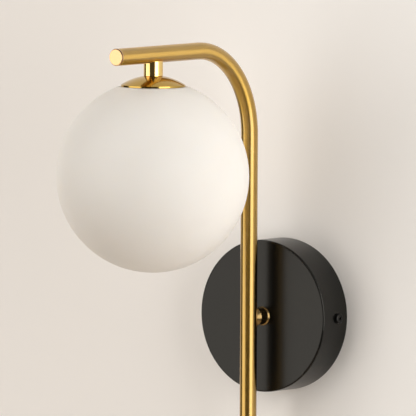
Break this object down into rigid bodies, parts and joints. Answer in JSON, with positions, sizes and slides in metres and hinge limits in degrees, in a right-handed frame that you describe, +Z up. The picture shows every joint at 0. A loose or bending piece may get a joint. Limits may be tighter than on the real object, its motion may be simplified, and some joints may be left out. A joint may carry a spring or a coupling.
{
  "type": "globe wall sconce",
  "caption": "Wall lamp: a bent gold tube on a round black canopy holds an opal glass globe that screws up under a small dome, over a pull-out lamp.",
  "frame": {"origin": "on the wall, at the centre of the canopy and of the bracket's two wall-screw slots", "axes": "+Z up, +Y into the wall; the lamp stands out from the wall towards -Y"},
  "size_m": [0.1496, 0.2512, 0.3596],
  "materials": {
    "satin_black_paint": "fine satin powder coat",
    "black_screw": "blackened steel",
    "zinc_steel": "zinc-plated sheet steel",
    "satin_gold": "brushed satin gold",
    "polished_gold": "polished gold",
    "turned_brass": "turned brass",
    "plated_steel": "plated steel",
    "opal_glass": "satin opal glass",
    "silicone": "soft silicone",
    "ceramic": "white steatite ceramic",
    "white_plastic": "moulded, matte",
    "black_plastic": "moulded, matte",
    "cable_sheath": "smooth heat-resistant sheath",
    "brown_core": "wire insulation",
    "blue_core": "wire insulation",
    "earth_core": "wire insulation, green and yellow",
    "tinned_tag": "tinned copper",
    "lamp_capsule": "frosted",
    "led_board": "white board with yellow chips"
  },
  "bodies": {
    "fixture": {"wall_bracket": "zinc_steel", "bracket_earth_screw": "plated_steel", "canopy_cover": "satin_black_paint", "canopy_side_screws": "black_screw", "arm_standoff": "polished_gold", "rear_nipple": "plated_steel", "rear_lock_washer": "plated_steel", "rear_nut": "plated_steel", "rear_cable_bush": "black_plastic", "earth_tags": "tinned_tag", "earth_lead": "earth_core", "terminal_block": "white_plastic", "terminal_inserts": "turned_brass", "terminal_screws": "plated_steel", "terminal_block_screw": "plated_steel", "arm_tube": "satin_gold", "arm_end_plug": "satin_gold", "lower_end_plug": "satin_gold", "drop_spacer": "polished_gold", "drop_nipple": "plated_steel", "drop_nut": "plated_steel", "drop_cable_bush": "black_plastic", "dome_cap": "polished_gold", "threaded_gallery": "turned_brass", "lampholder_bracket": "zinc_steel", "lampholder_body": "ceramic", "lampholder_lid": "ceramic", "lampholder_rivets": "turned_brass", "lampholder_contacts": "tinned_tag", "lampholder_screws": "plated_steel", "lamp_cable": "cable_sheath", "live_core": "brown_core", "neutral_core": "blue_core"},
    "neck_seal": {"neck_gasket": "silicone"},
    "globe": {"globe_shade": "opal_glass"},
    "bulb": {"bulb_base": "white_plastic", "bulb_pins": "tinned_tag", "bulb_envelope": "lamp_capsule", "bulb_led_board": "led_board"}
  },
  "joints": [
    {"name": "neck_seal_drop", "type": "slide", "parent": "fixture", "child": "neck_seal", "axis": [0, 0, -1], "range_m": [0, 0.0075]},
    {"name": "globe_unscrew", "type": "hinge", "parent": "neck_seal", "child": "globe", "pos_m": [0, -0.1764, 0.1182], "axis": [0, 0, -1], "range_deg": [0, 900]},
    {"name": "bulb_pull", "type": "slide", "parent": "fixture", "child": "bulb", "axis": [0, 0, -1], "range_m": [0, 0.015]}
  ],
  "couplings": [
    {"joint": "neck_seal_drop", "follows": "globe_unscrew", "m_per_rad": 0.00047746}
  ]
}
